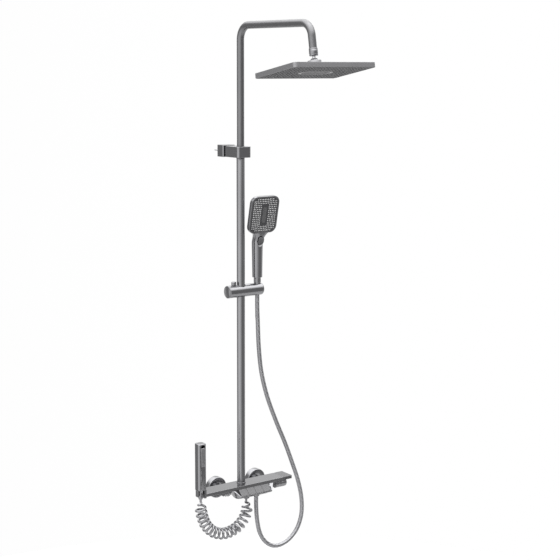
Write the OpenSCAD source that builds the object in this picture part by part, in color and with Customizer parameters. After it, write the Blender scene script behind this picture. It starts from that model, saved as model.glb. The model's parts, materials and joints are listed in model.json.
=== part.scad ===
// Rainfall shower column: shelf mixer with four keys, telescoping riser, swivelling overhead arm and
// rain head, sliding handset, and a bidet sprayer. Millimetres, +Z up. The origin lies midway between
// the two wall inlets, on the wall's face. +Y points into the wall, -Y into the room.

/* [Riser and arm] */
// Height of the overhead arm's axis above the inlets
arm_z = 1428; // [1300:1:1500]
// Outer radius of the lower riser
riser_r = 12.5; // [12.5:0.5:12.5]
// Outer radius of the upper tube and arm
arm_r = 11; // [11:0.5:11]
// Distance of the riser's axis from the wall
riser_off = 95; // [90:1:100]
// Sideways place of the riser, from the middle of the inlets
riser_x = -37; // [-45:1:-30]
// Bend radius of the arm
bend_r = 42; // [38:1:48]
// Reach of the arm's straight run past its first bend
arm_run = 263; // [240:1:290]
// Height of the wall bracket's middle
bracket_z = 1056; // [1000:1:1090]

/* [Rain head] */
// Width of the rain head, side to side
head_w = 280; // [240:5:300]
// Depth of the rain head, front to back
head_d = 190; // [170:5:200]
// Thickness of the rain head
head_t = 14; // [12:1:16]
// Lean of the rain head from level, front edge up, in degrees
head_tilt = 10; // [8:1:12]

/* [Mixer] */
// Distance between the two inlets
inlet_gap = 150; // [150:1:150]
// Height of the shelf's top above the inlets
shelf_z = 30; // [30:1:30]
// Thickness of the shelf plate
shelf_t = 10; // [10:1:10]
// Depth of the shelf, front to back
shelf_d = 55; // [52:1:58]
// Width of one key
key_w = 28; // [28:1:28]
// Slope of the key panel from level, in degrees
panel_a = 42; // [40:1:44]
// Length of the key panel down its slope
panel_len = 27; // [27:1:27]

/* [Slider and handset] */
// Height of the slider's axis
slider_z = 635; // [560:1:760]
// Outer radius of the slider's barrel
slider_r = 19; // [19:1:19]
// Sideways distance from the riser to the handset's axis
handset_off = 61; // [58:1:61]
// Width of the handset's head
face_w = 102; // [96:1:104]
// Height of the handset's head
face_h = 116; // [110:1:120]
// Forward lean of the handset's head, in degrees
face_tilt = 12; // [10:1:14]

/* [Sprayer] */
// Side of the sprayer's square body
spray_w = 28; // [26:1:28]
// Length of the sprayer's body
spray_len = 145; // [130:1:150]

/* [Hoses] */
// Outer radius of the handset's metal hose
hose_r = 7; // [6.5:0.5:7]
// Outer radius of the curly hose's coil
coil_r = 19; // [17:1:19]

/* [Hidden] */
$fn = 64;
eps = 0.01;

// Places that several sub-parts share
riser_y = -riser_off;
inlet_x = inlet_gap / 2;
shelf_back = -73;
shelf_front = shelf_back - shelf_d;
shelf_left = -192;
seam_x = 103.5;
lever_right = 136;
shelf_under = shelf_z - shelf_t;
body_y = -80;
tail_end = -60;
riser_foot = 11;
body_z = 6;
body_r = 14;
hub_y = -104;
hub_z = 6;
hub_r = 13.9;
hub_left = 83;
hub_right = 125;
cartridge_r = 10.5;
panel_x = -14;
panel_z = 21;
key_count = 4;
keys_left = panel_x - key_count * key_w / 2;
key_gap = 0.3;
key_pin_r = 1.5;
key_pin_y = -3.6;
key_pin_z = -5.2;
valve_y = -14;
valve_foot = -13;
strip_w = 84;
strip_front = -143;
strip_d = 6;

// Wall bracket
block_w = 48;
block_front = -118;
block_back = -45;
block_h = 33;
wall_base_front = -34;
base_w = 44;
base_h = 36;

// Telescoping tubes
riser_wall = 1.25;
riser_top = bracket_z + 10;
arm_wall = 1.5;
arm_foot = bracket_z - 190;

// Overhead arm: a bend up to level, a straight run, then a bend down that stops head_tilt short
arm_y0 = riser_y - bend_r;
arm_y1 = arm_y0 - arm_run;
down_a = 90 - head_tilt;
drop_len = 41;
arm_end_y = arm_y1 - bend_r * sin(down_a) - drop_len * cos(down_a);
arm_end_z = arm_z - bend_r * (1 - cos(down_a)) - drop_len * sin(down_a);
ball_drop = 32;
ball_r = 10;
seat_r = 12.5;
ball_y = arm_end_y - ball_drop * cos(down_a);
ball_z = arm_end_z - ball_drop * sin(down_a);
head_top = -16;
head_corner = 10;
head_wall = 2;

// Slider and handset
handset_x = riser_x + handset_off;
slider_left = riser_x - 47;
slider_right = riser_x + 77;
bush_wall = 1.4;
nut_top = slider_z + 36;
nut_foot = slider_z - 17;
socket_low_r = 8.7;
socket_top_r = 11.5;
handle_top = slider_z + 142;
face_y = riser_y - 18;
face_z = slider_z + 176;
face_t = 14;
face_corner = 22;

// Sprayer and its fork
spray_x = -208.5;
spray_y = -129;
spray_foot = 48;
fork_z = 28;
fork_front = -137;
fork_back = -106;
slot_w = 19;
trigger_top = spray_foot + 129;
rose_z = spray_foot + 117;
jaw = 6;
trigger_len = 54;

// Outlets under the body
hose_x = 22;
curly_x = -16;
outlet_y = -92;
outlet_foot = -11;
nut_len = 15;

// Route of the metal hose, from the handset's nut down and round to the mixer
hose_route = [
    [24, -95, 617.7], [24, -95, 580], [26, -95, 530], [30, -95, 450], [40, -95, 370], [62, -95, 290],
    [96, -96, 205], [130, -97, 130], [158, -98, 60], [180, -99, 0], [194, -100, -60], [195, -100, -115],
    [180, -99, -160], [152, -98, -190], [118, -97, -204], [84, -96, -202], [55, -95, -182],
    [35, -94, -150], [25, -93, -105], [22, -92, -60], [22, -92, -26.4]];

// Route of the curly hose's middle line, from the sprayer's nut round to the mixer
curly_route = [
    [-208.5, -129, 17.4], [-208, -128, 2], [-206, -127, -20], [-199, -125, -44], [-186, -122, -70],
    [-166, -119, -92], [-142, -116, -107], [-114, -113, -115], [-86, -109, -115], [-60, -105, -108],
    [-38, -101, -95], [-22, -97, -77], [-15, -94, -55], [-16, -92, -38], [-16, -92, -26.4]];

// ---- shared shapes ----

// Rounded rectangle about the origin
module round_rect(w, d, r) {
    square([w - 2 * r, d], center = true);
    square([w, d - 2 * r], center = true);
    for (sx = [-1, 1], sy = [-1, 1])
        translate([sx * (w / 2 - r), sy * (d / 2 - r)]) circle(r);
}

// Rounded block standing on its own z = 0
module round_block(w, d, h, r) {
    linear_extrude(h) round_rect(w, d, r);
}

// Ring along Z
module ring(r_out, r_in, h) {
    difference() {
        cylinder(r = r_out, h = h);
        translate([0, 0, -1]) cylinder(r = r_in, h = h + 2);
    }
}

// Rod along +X from x0 to x1
module rod_x(x0, x1, y, z, r) {
    translate([x0, y, z]) rotate([0, 90, 0]) cylinder(r = r, h = x1 - x0);
}

// Rod along +Y from y0 to y1
module rod_y(x, y0, y1, z, r) {
    translate([x, y0, z]) rotate([-90, 0, 0]) cylinder(r = r, h = y1 - y0);
}

// Frame of the key panel: origin on its top edge, -Y down the slope, +Z out of its face
module on_panel() {
    translate([0, shelf_front, panel_z]) rotate([panel_a, 0, 0]) children();
}

// Frame of the rain head: origin at the ball's centre, +Z up its stem
module on_head() {
    translate([riser_x, ball_y, ball_z]) rotate([-head_tilt, 0, 0]) children();
}

// Frame of the handset's head: origin at the middle of its lower edge, +Z up its face
module on_face() {
    translate([handset_x, face_y, face_z]) rotate([face_tilt, 0, 0]) children();
}

// Slab seen from the front, standing on z = 0, centred across X and Y
module face_slab(w, h, t, r) {
    translate([0, t / 2, h / 2]) rotate([90, 0, 0]) round_block(w, h, t, r);
}

// Smooth curve through route points, with steps rings for each stretch
function spline(p, i, t) =
    let (a = p[max(i - 1, 0)], b = p[i], c = p[i + 1], d = p[min(i + 2, len(p) - 1)])
    0.5 * (2 * b + (c - a) * t + (2 * a - 5 * b + 4 * c - d) * t * t
        + (3 * b - a - 3 * c + d) * t * t * t);
function smooth(p, steps) = concat(
    [for (i = [0 : len(p) - 2], k = [0 : steps - 1]) spline(p, i, k / steps)], [p[len(p) - 1]]);
function unit(v) = v / norm(v);
function heading(c, i) = unit(c[min(i + 1, len(c) - 1)] - c[max(i - 1, 0)]);

// Tube swept along the rings' centres c, with one radius per ring and a given count of sides
module swept_tube(c, radii, sides) {
    rings = [for (i = [0 : len(c) - 1])
        let (u = unit(cross(heading(c, i), [0, 1, 0])), v = cross(u, heading(c, i)))
        for (k = [0 : sides - 1])
            c[i] + radii[i] * (cos(360 * k / sides) * u + sin(360 * k / sides) * v)];
    walls = [for (i = [0 : len(c) - 2], k = [0 : sides - 1])
        [i * sides + k, i * sides + (k + 1) % sides, (i + 1) * sides + (k + 1) % sides,
            (i + 1) * sides + k]];
    first = [for (k = [sides - 1 : -1 : 0]) k];
    last = [for (k = [0 : sides - 1]) (len(c) - 1) * sides + k];
    polyhedron(points = rings, faces = concat(walls, [first, last]));
}

// ---- mixer ----

// Cast body: a waterway behind the keys, a bridge under the shelf and the cartridge's housing
module mixer_body() color("dimgray") difference() {
    union() {
        rod_x(-96, 90, body_y, body_z, body_r);
        translate([-150, -114, 10]) cube([150 + seam_x, 41, shelf_under - 10]);
        for (x = [-inlet_x, inlet_x]) rod_y(x, body_y, tail_end, 0, 12);
        for (x = [-inlet_x, inlet_x]) rod_y(x, tail_end - 2, tail_end, 0, 13.2);
        for (x = [hose_x, curly_x]) translate([x, outlet_y, outlet_foot]) cylinder(r = 11, h = 24);
        rod_x(hub_left, seam_x, hub_y, hub_z, hub_r);
    }
    rod_x(-90, 84, body_y, body_z, 9);
    for (x = [-inlet_x, inlet_x]) rod_y(x, body_y, -50, 0, 8);
    for (x = [hose_x, curly_x]) translate([x, outlet_y, outlet_foot - 1]) cylinder(r = 8, h = 17);
    rod_x(hub_left + 2, seam_x + 1, hub_y, hub_z, cartridge_r);
    translate([riser_x, riser_y, riser_foot]) cylinder(r = riser_r + 0.05, h = 20);
    translate([riser_x, riser_y + 8, body_z]) cylinder(r = 4, h = riser_foot - body_z + 1);
    rod_y(hub_left + 12, hub_y - hub_r - 1, hub_y - hub_r + 5, hub_z, 1.5);
}

// Flat shelf over the body, with a hole for the riser
module shelf_plate() color("gray") difference() {
    translate([(shelf_left + seam_x) / 2, (shelf_front + shelf_back) / 2, shelf_under])
        round_block(seam_x - shelf_left, shelf_d, shelf_t, 3);
    translate([riser_x, riser_y, shelf_under - 1]) cylinder(r = riser_r + 0.05, h = shelf_t + 2);
}

// One cross-section of the spout's housing, at depth y: half widths and heights of its top and foot
module spout_section(y, top_half, foot_half, top, foot) {
    translate([panel_x, y, 0]) rotate([90, 0, 0]) linear_extrude(eps)
        polygon([[-top_half, top], [top_half, top], [foot_half, foot], [-foot_half, foot]]);
}

// Height of the panel's plane at depth y
function panel_at(y) = min(shelf_under, panel_z + (y - shelf_front) * tan(panel_a));

// Flared housing: it follows the panel's slope in front and narrows back to the body
spout_steps = [
    // depth, half width of top, half width of foot, height of foot
    [-148, 58, 57.5, 0], [-143, 62.5, 60, -3.5], [-136, 68.8, 64, -5.5], [-128.8, 75.3, 67, -5.5],
    [-120, 76, 68, -3.5], [-112, 76, 68, 0], [-104, 76, 68, 4]];
module spout_shell() color("gray") difference() {
    for (i = [0 : len(spout_steps) - 2]) hull() {
        for (s = [spout_steps[i], spout_steps[i + 1]])
            spout_section(s[0], s[1], s[2], panel_at(s[0]) - 0.1, s[3]);
    }
    on_panel() translate([keys_left, -panel_len + 1, -8])
        cube([key_count * key_w, panel_len, 20]);
    on_panel() translate([keys_left, -panel_len + 6, valve_foot])
        cube([key_count * key_w, panel_len - 5, 20]);
    on_panel() rod_x(keys_left - 3, keys_left + key_count * key_w + 3, key_pin_y, key_pin_z, key_pin_r);
    translate([panel_x - strip_w / 2, strip_front, -10]) cube([strip_w, strip_d, 14]);
    for (i = [0 : key_count - 1]) rod_y(keys_left + (i + 0.5) * key_w, -127, -100, 2.5, 3);
    translate([panel_x - 80, -114, 10]) cube([160, 20, 20]);
    rod_x(panel_x - 90, panel_x + 90, body_y, body_z, 30);
}

// Row of slots that the waterfall leaves by
module spout_strip() color("darkgray") difference() {
    translate([panel_x - strip_w / 2, strip_front, -4]) cube([strip_w, strip_d, 3.4]);
    for (i = [0 : 12]) translate([panel_x - 39 + i * 6, strip_front + 1.6, -5]) cube([3.6, 2.8, 6]);
}

// Rod that all four keys hang on
module key_pin() color("silver") on_panel()
    rod_x(keys_left - 3, keys_left + key_count * key_w + 3, key_pin_y, key_pin_z, key_pin_r);

// Push valves under the keys, one for each outlet
module key_valves() color("goldenrod") on_panel() for (i = [0 : key_count - 1])
    translate([keys_left + (i + 0.5) * key_w, valve_y, valve_foot]) difference() {
        cylinder(r = 6, h = 6.5);
        translate([0, 0, 1.5]) cylinder(r = 3.4, h = 6);
    }

// One key: a plate on the slope, a knuckle on the rod and a stem into its valve
module key(i) {
    x0 = keys_left + i * key_w;
    color("darkgray") on_panel() difference() {
        union() {
            translate([x0 + key_gap, -panel_len + 1.6, -3])
                cube([key_w - 2 * key_gap, panel_len - 2.4, 3.4]);
            rod_x(x0 + key_gap, x0 + key_w - key_gap, key_pin_y, key_pin_z, 2.8);
            translate([x0 + key_w / 2, valve_y, -8.6]) cylinder(r = 2.3, h = 6);
        }
        rod_x(x0 - 1, x0 + key_w + 1, key_pin_y, key_pin_z, key_pin_r + 0.05);
    }
}
module key_1() key(0);
module key_2() key(1);
module key_3() key(2);
module key_4() key(3);

// ---- inlets ----

// Wall connectors: half-inch male end into the wall, larger male end for the union nut
module inlet_unions() color("goldenrod") for (x = [-inlet_x, inlet_x]) difference() {
    union() {
        rod_y(x, -2, 13, 0, 10.48);
        rod_y(x, -44, -2, 0, 11.5);
        rod_y(x, -57, -44, 0, 13.2);
    }
    rod_y(x, -58, 14, 0, 7.5);
}

// Round cups that cover the holes in the wall
module escutcheons() color("dimgray") for (x = [-inlet_x, inlet_x]) translate([x, 0, 0])
    rotate([90, 0, 0]) rotate_extrude()
    difference() {
        union() {
            translate([11.6, 0]) square([19.4, 20]);
            translate([11.6, 0]) square([21.4, 18]);
            translate([31, 18]) circle(2);
        }
        translate([10, -1]) square([21.5, 19.5]);
    }

// Hexagonal union nuts that pull the body to the wall connectors
module union_nuts() color("gray") for (x = [-inlet_x, inlet_x]) difference() {
    translate([x, tail_end - 6, 0]) rotate([-90, 0, 0]) rotate([0, 0, 30])
        cylinder(r = 17.5, h = 20, $fn = 6);
    rod_y(x, tail_end - 7, tail_end, 0, 12.1);
    rod_y(x, tail_end - 2.02, -45, 0, 13.25);
}

// Sieve washers at the joint faces
module inlet_filters() color("white") for (x = [-inlet_x, inlet_x]) difference() {
    rod_y(x, -60, -57, 0, 12.8);
    rod_y(x, -58.4, -56, 0, 7.5);
    for (a = [0 : 60 : 300]) rod_y(x + 4 * cos(a), -61, -56, 4 * sin(a), 1.2);
}

// Ceramic mixing cartridge inside the hub
module mixing_cartridge() color("white") {
    rod_x(hub_left + 2, seam_x - 1, hub_y, hub_z, cartridge_r);
    rod_x(seam_x - 1, seam_x + 12, hub_y, hub_z, 4);
}

// Threaded nipples that the hoses screw on
module outlet_nipples() color("goldenrod") for (x = [hose_x, curly_x])
    translate([x, outlet_y, outlet_foot - 9]) ring(7.98, 5, 16);

// ---- lever ----

// Turning half of the hub, with a rounded end
module lever_hub() color("dimgray") difference() {
    union() {
        rod_x(seam_x + 0.5, hub_right - 5, hub_y, hub_z, hub_r);
        translate([hub_right - 5, hub_y, hub_z]) rotate([0, 90, 0]) rotate_extrude() {
            square([hub_r - 5, 5]);
            intersection() {
                translate([hub_r - 5, 0]) circle(5);
                square([hub_r, 5]);
            }
        }
        translate([seam_x + 0.5, hub_y - 8, hub_z]) cube([18, 16, shelf_under - hub_z]);
    }
    rod_x(seam_x, seam_x + 13, hub_y, hub_z, 4.05);
}

// Flat lever that carries the shelf's line on to the right
module lever_plate() color("gray")
    translate([(seam_x + 0.5 + lever_right) / 2, (shelf_front + shelf_back) / 2, shelf_under])
        round_block(lever_right - seam_x - 0.5, shelf_d, shelf_t, 3);

// ---- riser ----

// Locking ring at the riser's foot
module riser_base() color("gray") translate([riser_x, riser_y, shelf_z])
    ring(riser_r + 1.9, riser_r + 0.05, 2.6);

// Fixed lower tube
module lower_riser() color("gray") translate([riser_x, riser_y, riser_foot])
    ring(riser_r, riser_r - riser_wall, riser_top - riser_foot);

// Guide bush in the mouth of the lower tube
module telescope_bush() color("black") translate([riser_x, riser_y, riser_top])
    ring(riser_r, arm_r + 0.05, 5.5);

// Guide bush under the foot of the upper tube, with two bands that slide in the lower riser
module piston_rings() color("black") translate([riser_x, riser_y, arm_foot - 14.1]) {
    for (z = [0, 9]) translate([0, 0, z]) ring(riser_r - riser_wall - 0.05, 7, 5);
    ring(9, 7, 14);
}

// Bent upper tube and overhead arm
module arm_profile() difference() {
    circle(arm_r);
    circle(arm_r - arm_wall);
}
module upper_arm() color("gray") translate([riser_x, 0, 0]) {
    translate([0, riser_y, arm_foot]) linear_extrude(arm_z - bend_r - arm_foot) arm_profile();
    translate([0, arm_y0, arm_z - bend_r]) rotate([90, 0, 90])
        rotate_extrude(angle = 90) translate([bend_r, 0]) arm_profile();
    translate([0, arm_y0, arm_z]) rotate([90, 0, 0]) linear_extrude(arm_run) arm_profile();
    translate([0, arm_y1, arm_z - bend_r]) rotate([90, 0, -90]) rotate([0, 0, head_tilt]) {
        rotate_extrude(angle = down_a) translate([bend_r, 0]) arm_profile();
        translate([bend_r, -drop_len, 0]) rotate([-90, 0, 0]) linear_extrude(drop_len) arm_profile();
    }
}

// ---- wall bracket ----

// Plate screwed to the wall, under the cover
module bracket_plate() color("silver") translate([riser_x, 0, bracket_z]) difference() {
    translate([-15, -4, -13]) cube([30, 4, 26]);
    for (s = [-1, 1]) translate([s * 9, -5, 0]) rotate([-90, 0, 0]) cylinder(r = 2.3, h = 6);
}

// Two wall screws
module bracket_screws() color("silver") for (s = [-1, 1]) {
    rod_y(riser_x + s * 9, -4, 0.5, bracket_z, 1.6);
    rod_y(riser_x + s * 9, 0.4, 30, bracket_z, 2.2);
    rod_y(riser_x + s * 9, -6.4, -4, bracket_z, 4);
}

// Cover on the wall, hollow behind
module bracket_base() color("gray") translate([riser_x, 0, bracket_z]) difference() {
    union() {
        translate([0, 0, -base_h / 2]) translate([0, wall_base_front / 2, 0])
            round_block(base_w, -wall_base_front, base_h, 4);
        translate([-13, block_back, -11]) cube([26, wall_base_front - block_back + 1, 22]);
    }
    translate([-16, -12, -13.2]) cube([32, 13, 26.4]);
    translate([0, -8, -base_h / 2 - 1]) cylinder(r = 2, h = 6);
}

// Block that holds the riser
module bracket_block() color("gray") translate([riser_x, 0, bracket_z]) difference() {
    translate([0, (block_front + block_back) / 2, -block_h / 2])
        round_block(block_w, block_back - block_front, block_h, 8);
    translate([0, riser_y, -block_h / 2 - 1]) cylinder(r = riser_r + bush_wall + 0.1, h = block_h + 2);
}

// Plastic sleeve between the block and the riser
module bracket_sleeve() color("black") translate([riser_x, riser_y, bracket_z - block_h / 2 + 0.5])
    ring(riser_r + bush_wall + 0.05, riser_r + 0.03, block_h - 1);

// Grub screws: one locks the wall cover, one the cartridge's housing
module grub_screws() color("black") {
    translate([riser_x, -8, bracket_z - base_h / 2 - 0.1]) cylinder(r = 2, h = 4.8);
    rod_y(hub_left + 12, hub_y - hub_r - 0.1, hub_y - hub_r + 3.3, hub_z, 1.5);
}

// ---- rain head ----

// Ball and stem screwed into the arm's end
module ball_stem() color("silver") on_head() {
    sphere(ball_r);
    cylinder(r = 4.8, h = 20);
    translate([0, 0, 18]) cylinder(r = 9, h = 14);
    translate([0, 0, ball_drop - 0.1]) cylinder(r = arm_r - arm_wall - 0.05, h = 12);
}

// Collar nut over the joint of arm and stem
module arm_nut() color("gray") on_head() difference() {
    translate([0, 0, 17]) cylinder(r = 12.4, h = 21);
    translate([0, 0, 16]) cylinder(r = 9.1, h = 16);
    translate([0, 0, ball_drop - 0.1]) cylinder(r = arm_r + 0.05, h = 8);
}

// Plastic seat round the ball, itself round outside so that the head can also roll on it
module ball_seat() color("black") on_head() difference() {
    sphere(seat_r);
    sphere(ball_r + 0.05);
    cylinder(r = 8, h = 20);
    translate([0, 0, -20]) cylinder(r = 4, h = 20);
}

// Round socket cap on the head's back
module head_boss() color("gray") on_head() difference() {
    union() {
        translate([0, 0, head_top]) cylinder(r = 19, h = 13);
        translate([0, 0, head_top + 13]) cylinder(r1 = 19, r2 = 14, h = 8);
    }
    sphere(seat_r + 0.05);
    translate([0, 0, head_top - 1]) cylinder(r = 4, h = 10);
}

// Thin metal tray, open below
module head_shell() color("gray") on_head() translate([0, 0, head_top - head_t]) difference() {
    round_block(head_w, head_d, head_t, head_corner);
    translate([0, 0, -1])
        round_block(head_w - 2 * head_wall, head_d - 2 * head_wall, head_t - head_wall + 1, 8);
    cylinder(r = 4, h = head_t + 1);
}

// Spray plate closing the tray
module head_face() color("dimgray") on_head() translate([0, 0, head_top - head_t + 1]) difference() {
    round_block(head_w - 2 * head_wall - 0.4, head_d - 2 * head_wall - 0.4, 3, 7.8);
    for (i = [-5 : 5], j = [-3 : 3]) if (abs(i) > 2 || abs(j) > 1)
        translate([i * 23, j * 24, -1]) cylinder(r = 1.6, h = 5);
    translate([0, 0, -1]) round_block(112, 42, 5, 20.9);
}

// Soft nozzles pressed through the spray plate from a mat behind it
module head_nozzles() color("silver") on_head() translate([0, 0, head_top - head_t]) {
    translate([0, 0, 4]) round_block(266, 176, 1.5, 7);
    for (i = [-5 : 5], j = [-3 : 3]) if (abs(i) > 2 || abs(j) > 1)
        translate([i * 23, j * 24, 0.2]) cylinder(r = 1.55, h = 4);
}

// Long oval mist plate in the middle of the spray plate
module head_inset() color("silver") on_head() translate([0, 0, head_top - head_t + 0.8])
    round_block(111.6, 41.6, 3.2, 20.7);

// ---- slider ----

// Level barrel: the riser passes through it and the handset stands in its tapered socket
module slider_body() color("gray") difference() {
    union() {
        rod_x(slider_left, slider_right - 6, riser_y, slider_z, slider_r);
        translate([slider_right - 6, riser_y, slider_z]) rotate([0, 90, 0]) rotate_extrude() {
            square([slider_r - 6, 6]);
            intersection() {
                translate([slider_r - 6, 0]) circle(6);
                square([slider_r, 6]);
            }
        }
    }
    translate([riser_x, riser_y, slider_z - 25]) cylinder(r = riser_r + bush_wall + 0.1, h = 50);
    translate([handset_x, riser_y, slider_z - slider_r - 1])
        cylinder(r1 = socket_low_r, r2 = socket_top_r, h = 2 * slider_r + 1);
    rod_x(slider_left - 1, riser_x, riser_y, slider_z, 8);
    translate([riser_x - 26, riser_y, slider_z]) cylinder(r = 3.2, h = slider_r + 1);
}

// Flat cap on the barrel's left end
module slider_cap() color("dimgray") {
    rod_x(slider_left - 2.5, slider_left, riser_y, slider_z, slider_r);
    rod_x(slider_left, slider_left + 8, riser_y, slider_z, 7.95);
}

// Split bush between the barrel and the riser
module slider_bush() color("black") translate([riser_x, riser_y, slider_z - 16])
    ring(riser_r + bush_wall + 0.05, riser_r + 0.06, 32);

// Pad that the clamp knob presses on the bush
module clamp_pad() color("black")
    rod_x(riser_x - 22.6, riser_x - riser_r - bush_wall - 0.1, riser_y, slider_z, 7.9);

// Small knob that frees and locks the slider
module clamp_knob() color("silver") translate([riser_x - 26, riser_y, slider_z]) {
    translate([0, 0, -4]) cylinder(r = 3, h = slider_r + 6);
    translate([0, 0, slider_r + 0.3]) cylinder(r = 7.5, h = 11);
}

// ---- handset ----

// Tapered nut on the hose's end, which drops into the slider's socket
module cone_nut() color("gray") translate([handset_x, riser_y, 0]) difference() {
    union() {
        translate([0, 0, nut_foot]) cylinder(r1 = 8.45, r2 = 11.1, h = 36);
        translate([0, 0, nut_foot + 36]) cylinder(r = 11.1, h = nut_top - nut_foot - 36);
    }
    translate([0, 0, nut_top - 16]) cylinder(r = 7.6, h = 17);
}

// Handle and head in one moulding, hollow behind the face
module handset_body() color("gray") difference() {
    union() {
        translate([handset_x, riser_y, nut_top - 15]) cylinder(r = 7.55, h = 16);
        translate([handset_x, riser_y, nut_top + 0.4])
            cylinder(r1 = 15.5, r2 = 17.2, h = handle_top - nut_top);
        hull() {
            translate([handset_x, riser_y, handle_top + 0.4]) cylinder(r = 17.15, h = 0.5, $fn = 32);
            on_face() translate([0, 3.2, 14]) face_slab(64, 28, 6.6, 13.9, $fn = 32);
        }
        on_face() face_slab(face_w, face_h, face_t, face_corner);
    }
    on_face() translate([0, -4, 5]) face_slab(face_w - 10, face_h - 10, 7, face_corner - 5);
    translate([handset_x, riser_y, nut_top - 16]) cylinder(r = 5, h = 100);
    button_seat(10.2, 13.2, 9);
}

// Frame of the thumb button: +Z into the room, at the top of the handle's front
module on_button() {
    translate([handset_x, riser_y - 19, handle_top + 9]) rotate([108, 0, 0]) children();
}
module button_seat(half_w, half_h, depth) on_button() translate([0, 0, 1 - depth])
    linear_extrude(depth + 12) {
        square([2 * half_w, 2 * (half_h - half_w)], center = true);
        for (s = [-1, 1]) translate([0, s * (half_h - half_w)]) circle(half_w);
    }

// Oval thumb button that pauses the water
module thumb_button() color("dimgray") on_button() translate([0, 0, -1.2]) linear_extrude(5) {
    square([19.8, 6], center = true);
    for (s = [-1, 1]) translate([0, s * 3]) circle(9.9);
}

// Return spring behind the thumb button
module button_spring() color("silver") on_button() translate([0, 0, -8]) ring(5, 3.6, 6.7);

// Dark spray face of the handset
module handset_face() color("dimgray") on_face() difference() {
    translate([0, -6, 5.2]) face_slab(face_w - 10.4, face_h - 10.4, 2, face_corner - 5.2);
    for (i = [-3 : 3], j = [-3 : 3]) if (abs(i) > 0)
        translate([i * 12, 0, 58 + j * 14]) rotate([90, 0, 0]) cylinder(r = 1.3, h = 10);
    translate([0, -4, 33]) face_slab(14.4, 50.4, 8, 7.1);
}

// Soft nozzles on a mat behind the spray face, and the wide jet slot's insert
module handset_nozzles() color("silver") on_face() {
    translate([0, -3.9, 8]) face_slab(86, 100, 1.6, 14);
    for (i = [-3 : 3], j = [-3 : 3]) if (abs(i) > 0)
        translate([i * 12, -4, 58 + j * 14]) rotate([90, 0, 0]) cylinder(r = 1.25, h = 3.6);
    translate([0, -6, 33.2]) face_slab(14, 50, 2.8, 6.9);
}

// Water guide inside the handset's head
module handset_core() color("white") on_face() translate([0, -1.8, 12]) face_slab(78, 92, 2.6, 12);

// ---- sprayer ----

// Round-backed fork on the shelf's left end, open to the front
module fork_holder() color("gray") {
    slot_half = slot_w / 2;
    outer = slot_half + jaw;
    fork_h = spray_foot - fork_z;
    translate([spray_x + slot_half, fork_front, shelf_under])
        cube([shelf_left - spray_x - slot_half, fork_back - fork_front, spray_foot - shelf_under]);
    translate([spray_x - outer, fork_front, fork_z]) cube([jaw, spray_y - fork_front, fork_h]);
    translate([spray_x, spray_y, fork_z]) difference() {
        cylinder(r = outer, h = fork_h);
        translate([0, 0, -1]) cylinder(r = slot_half, h = fork_h + 2);
        translate([-outer - 1, -outer - 1, -1]) cube([2 * outer + 2, outer + 1, fork_h + 2]);
    }
}

// Square handle with rounded corners, a trigger slot in front and a neck below
module sprayer_body() color("gray") translate([spray_x, spray_y, 0]) difference() {
    union() {
        translate([0, 0, spray_foot + 0.1]) round_block(spray_w, spray_w, spray_len, 7);
        translate([0, 0, spray_foot - 14]) cylinder(r = 8.2, h = 15);
        translate([0, 0, spray_foot - 22]) cylinder(r = 5.9, h = 9);
    }
    translate([-7.6, -spray_w / 2 - 1, trigger_top - trigger_len - 2]) cube([15.2, 9, trigger_len + 14]);
    rod_x(-10, 10, -spray_w / 2 + 3, trigger_top, 1.5);
    translate([0, 0, spray_foot - 23]) cylinder(r = 3.5, h = 90);
    translate([0, spray_w / 2 + 1, rose_z]) rotate([90, 0, 0]) cylinder(r = 8.05, h = 4);
}

// Round spray plate on the sprayer's back
module sprayer_nozzle() color("dimgray") translate([spray_x, spray_y, rose_z])
    rotate([-90, 0, 0]) difference() {
        translate([0, 0, spray_w / 2 - 3]) cylinder(r = 8, h = 6);
        for (a = [0 : 45 : 315]) rotate([0, 0, a]) translate([5, 0, 11]) cylinder(r = 0.7, h = 6);
    }

// Hose nut under the sprayer's neck
module sprayer_nut() color("gray") translate([spray_x, spray_y, 18]) difference() {
    cylinder(r1 = 6.6, r2 = 8, h = 15.9);
    translate([0, 0, 8]) cylinder(r = 5.95, h = 9);
}

// Trigger: hung at its top, its foot stands out of the slot
module trigger() color("darkgray") translate([spray_x, spray_y - spray_w / 2, trigger_top])
    difference() {
        union() {
            rotate([90, 0, 90]) translate([0, 0, -7.1]) linear_extrude(14.2)
                polygon([[5, 3], [-0.6, 3], [-2.2, -4], [-5.6, -44], [-5.2, -trigger_len],
                    [-1, -trigger_len], [2.4, -44], [2.6, -6], [5, -4]]);
            rod_x(-7.1, 7.1, 3, 0, 3.2);
        }
        rod_x(-8, 8, 3, 0, 1.55);
    }

// Pin that the trigger hangs on
module trigger_pin() color("silver")
    rod_x(spray_x - 10, spray_x + 10, spray_y - spray_w / 2 + 3, trigger_top, 1.5);

// Return spring behind the trigger
module trigger_spring() color("silver")
    translate([spray_x, spray_y - spray_w / 2 + 8, trigger_top - 36]) rotate([90, 0, 0]) ring(4, 2.8, 5.4);

// ---- hoses ----

// Nut that joins the metal hose to the mixer
module hose_nut() color("gray") translate([hose_x, outlet_y, outlet_foot - nut_len]) difference() {
    cylinder(r = 10.5, h = nut_len);
    translate([0, 0, 6]) cylinder(r = 8.05, h = nut_len);
}

// Nut that joins the curly hose to the mixer
module curly_nut() color("gray") translate([curly_x, outlet_y, outlet_foot - nut_len]) difference() {
    cylinder(r = 10.5, h = nut_len);
    translate([0, 0, 6]) cylinder(r = 8.05, h = nut_len);
}

// Metal hose of the handset
module hose() color("darkgray") {
    c = smooth(hose_route, 2);
    swept_tube(c, [for (p = c) hose_r], 12);
}

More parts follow.
